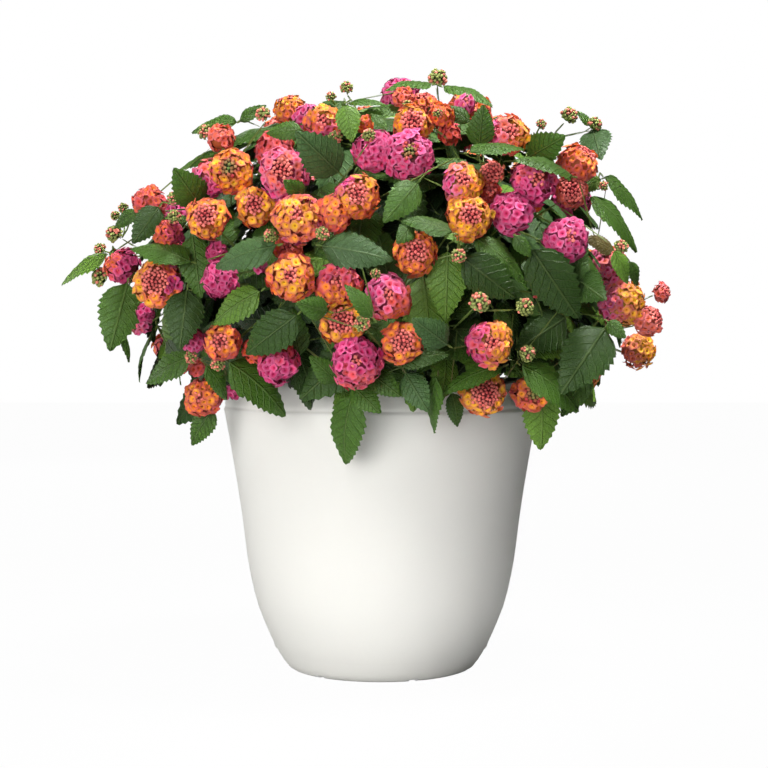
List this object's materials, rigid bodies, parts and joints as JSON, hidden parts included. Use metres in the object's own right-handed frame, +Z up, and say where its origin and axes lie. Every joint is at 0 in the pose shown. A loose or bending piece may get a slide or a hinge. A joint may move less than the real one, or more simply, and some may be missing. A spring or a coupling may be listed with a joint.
{
  "type": "potted lantana",
  "caption": "Lantana in a plain tapered plastic pot: a round canopy of toothed leaves with dome-shaped heads of small flowers in yellow, orange, coral and magenta.",
  "frame": {"origin": "centre of the pot's flat underside", "axes": "+Z up along the pot's axis, -Y towards the side the plant is seen from, +X to that side's right"},
  "size_m": [0.5225, 0.5011, 0.5269],
  "materials": {
    "orange": "soft petals",
    "yellow": "soft petals",
    "magenta": "soft petals",
    "coral": "soft petals",
    "leaf": "dull green, rough and veined",
    "pot": "fine matte, warm off-white",
    "soil": "rough crumbs of potting soil"
  },
  "bodies": {
    "root": {"flower_cluster_05_06": "orange", "flower_cluster_20_21_22": "orange", "flower_cluster_24_25_26": "yellow", "flower_cluster_32_33": "orange", "flower_cluster_36_37": "magenta", "flower_cluster_39_40": "orange", "flower_cluster_45_47_48": "magenta", "flower_cluster_57_59": "coral", "flower_head_01": "orange", "flower_head_03": "coral", "flower_head_07": "orange", "flower_head_08": "magenta", "flower_head_11": "magenta", "flower_head_12": "orange", "flower_head_15": "orange", "flower_head_17": "coral", "flower_head_18": "orange", "flower_head_19": "coral", "flower_head_23": "orange", "flower_head_31": "yellow", "flower_head_41": "magenta", "flower_head_42": "yellow", "flower_head_43": "orange", "flower_head_46": "magenta", "flower_head_49": "yellow", "flower_head_50": "magenta", "flower_head_52": "orange", "flower_head_53": "coral", "flower_head_54": "yellow", "flower_head_55": "orange", "flower_head_58": "yellow", "flower_head_back_01": "magenta", "flower_head_back_02": "yellow", "flower_head_back_03": "coral", "flower_head_back_04": "orange", "flower_head_back_05": "magenta", "flower_head_back_06": "yellow", "flower_head_back_07": "coral", "flower_head_back_08": "orange", "flower_head_back_09": "magenta", "flower_head_back_10": "yellow", "flower_head_back_11": "coral", "flower_head_back_12": "orange", "flower_head_back_13": "magenta", "flower_head_back_14": "yellow", "flower_head_back_15": "coral", "flower_head_back_16": "orange", "flower_head_back_17": "magenta", "leafy_stem_01": "leaf", "leafy_stem_02": "leaf", "leafy_stem_03": "leaf", "leafy_stem_04": "leaf", "leafy_stem_05": "leaf", "leafy_stem_06": "leaf", "leafy_stem_07": "leaf", "leafy_stem_08": "leaf", "leafy_stem_09": "leaf", "leafy_stem_10": "leaf", "pot": "pot", "soil": "soil"}
  },
  "joints": []
}
